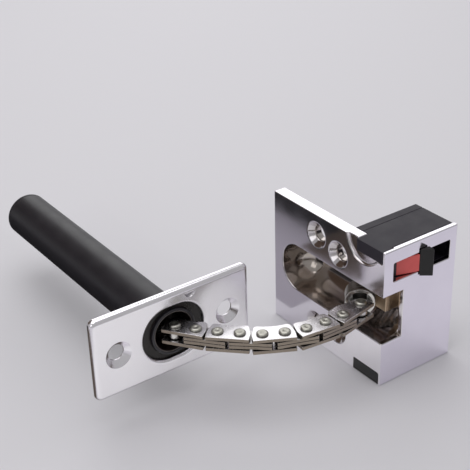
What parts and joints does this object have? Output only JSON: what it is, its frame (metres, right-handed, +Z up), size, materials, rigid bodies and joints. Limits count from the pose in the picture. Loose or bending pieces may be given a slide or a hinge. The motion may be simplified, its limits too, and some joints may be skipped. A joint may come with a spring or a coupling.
{
  "type": "door chain",
  "caption": "Concealed door chain: a sprung tube with a face plate, a one-way plate chain and a frame keep with a sliding lock switch.",
  "frame": {"origin": "middle of the face plate's back, between its screw holes, on the tube's axis", "axes": "+Y along the tube into the door, +X along the face plate towards the keep, +Z up"},
  "size_m": [0.1071, 0.1316, 0.046],
  "materials": {
    "plated_zinc": "bright plated die casting",
    "black_tube": "satin black coating",
    "black_plastic": "moulded, satin",
    "red_plastic": "moulded",
    "chain_steel": "stamped and plated",
    "rivet_steel": "spun rivet heads",
    "plain_steel": "turned",
    "spring_steel": "drawn wire"
  },
  "bodies": {
    "door_unit": {"face_plate": "plated_zinc", "plate_collar": "black_plastic", "tube": "black_tube", "end_cap": "black_tube", "guide_bush": "black_plastic", "return_spring": "spring_steel"},
    "draw_head": {"draw_head": "plain_steel"},
    "outer_link_1": {"outer_plate_1_upper": "chain_steel", "outer_plate_1_lower": "chain_steel", "link_pins_1": "rivet_steel"},
    "inner_link_1": {"inner_plate_1_upper": "chain_steel", "inner_plate_1_lower": "chain_steel"},
    "outer_link_2": {"outer_plate_2_upper": "chain_steel", "outer_plate_2_lower": "chain_steel", "link_pins_2": "rivet_steel"},
    "inner_link_2": {"inner_plate_2_upper": "chain_steel", "inner_plate_2_lower": "chain_steel"},
    "outer_link_3": {"outer_plate_3_upper": "chain_steel", "outer_plate_3_lower": "chain_steel", "link_pins_3": "rivet_steel"},
    "inner_link_3": {"inner_plate_3_upper": "chain_steel", "inner_plate_3_lower": "chain_steel"},
    "outer_link_4": {"outer_plate_4_upper": "chain_steel", "outer_plate_4_lower": "chain_steel", "link_pins_4": "rivet_steel"},
    "inner_link_4": {"inner_plate_4_upper": "chain_steel", "inner_plate_4_lower": "chain_steel"},
    "outer_link_5": {"outer_plate_5_upper": "chain_steel", "outer_plate_5_lower": "chain_steel", "link_pins_5": "rivet_steel"},
    "end_knob": {"end_knob": "plain_steel"},
    "keep": {"keep_bracket": "plated_zinc", "switch_housing": "black_plastic", "housing_cover": "black_plastic", "cover_screws": "plain_steel", "filler_block": "black_plastic"},
    "switch": {"switch_slider": "black_plastic", "red_indicator": "red_plastic", "switch_thumb": "black_plastic"},
    "lock_bolt": {"lock_bolt": "plain_steel"}
  },
  "joints": [
    {"name": "chain_draw", "type": "slide", "parent": "door_unit", "child": "draw_head", "axis": [0, -1, 0], "range_m": [-0.0015, 0.003], "deforming": ["return_spring"]},
    {"name": "chain_pivot_1", "type": "hinge", "parent": "draw_head", "child": "outer_link_1", "pos_m": [0, -0.0024, 0], "axis": [0, 0, 1], "range_deg": [-35, 12]},
    {"name": "chain_pivot_2", "type": "hinge", "parent": "outer_link_1", "child": "inner_link_1", "pos_m": [0.00373, -0.00772, 0], "axis": [0, 0, 1], "range_deg": [-4.5, 11.5]},
    {"name": "chain_pivot_3", "type": "hinge", "parent": "inner_link_1", "child": "outer_link_2", "pos_m": [0.00786, -0.01274, 0], "axis": [0, 0, -1], "range_deg": [-10.5, 5.5]},
    {"name": "chain_pivot_4", "type": "hinge", "parent": "outer_link_2", "child": "inner_link_2", "pos_m": [0.01246, -0.01734, 0], "axis": [0, 0, 1], "range_deg": [-3, 13]},
    {"name": "chain_pivot_5", "type": "hinge", "parent": "inner_link_2", "child": "outer_link_3", "pos_m": [0.01729, -0.02169, 0], "axis": [0, 0, -1], "range_deg": [-3, 13]},
    {"name": "chain_pivot_6", "type": "hinge", "parent": "outer_link_3", "child": "inner_link_3", "pos_m": [0.02297, -0.02484, 0], "axis": [0, 0, 1], "range_deg": [-8, 8]},
    {"name": "chain_pivot_7", "type": "hinge", "parent": "inner_link_3", "child": "outer_link_4", "pos_m": [0.02904, -0.02717, 0], "axis": [0, 0, -1], "range_deg": [-2, 14]},
    {"name": "chain_pivot_8", "type": "hinge", "parent": "outer_link_4", "child": "inner_link_4", "pos_m": [0.03549, -0.02796, 0], "axis": [0, 0, 1], "range_deg": [-5.5, 10.5]},
    {"name": "chain_pivot_9", "type": "hinge", "parent": "inner_link_4", "child": "outer_link_5", "pos_m": [0.04199, -0.02813, 0], "axis": [0, 0, -1], "range_deg": [-3.5, 12.5]},
    {"name": "knob_pivot", "type": "hinge", "parent": "outer_link_5", "child": "end_knob", "pos_m": [0.05034, -0.02651, 0], "axis": [0, 0, 1], "range_deg": [-25, 20]},
    {"name": "knob_slide", "type": "slide", "parent": "end_knob", "child": "keep", "axis": [0, 1, 0], "range_m": [-0.025, 0]},
    {"name": "switch_slide", "type": "slide", "parent": "keep", "child": "switch", "axis": [1, 0, 0], "range_m": [0, 0.008]},
    {"name": "bolt_lift", "type": "slide", "parent": "keep", "child": "lock_bolt", "axis": [0, 0, 1], "range_m": [0, 0.0054]}
  ],
  "couplings": [
    {"joint": "bolt_lift", "follows": "switch_slide", "ratio": 0.675}
  ]
}
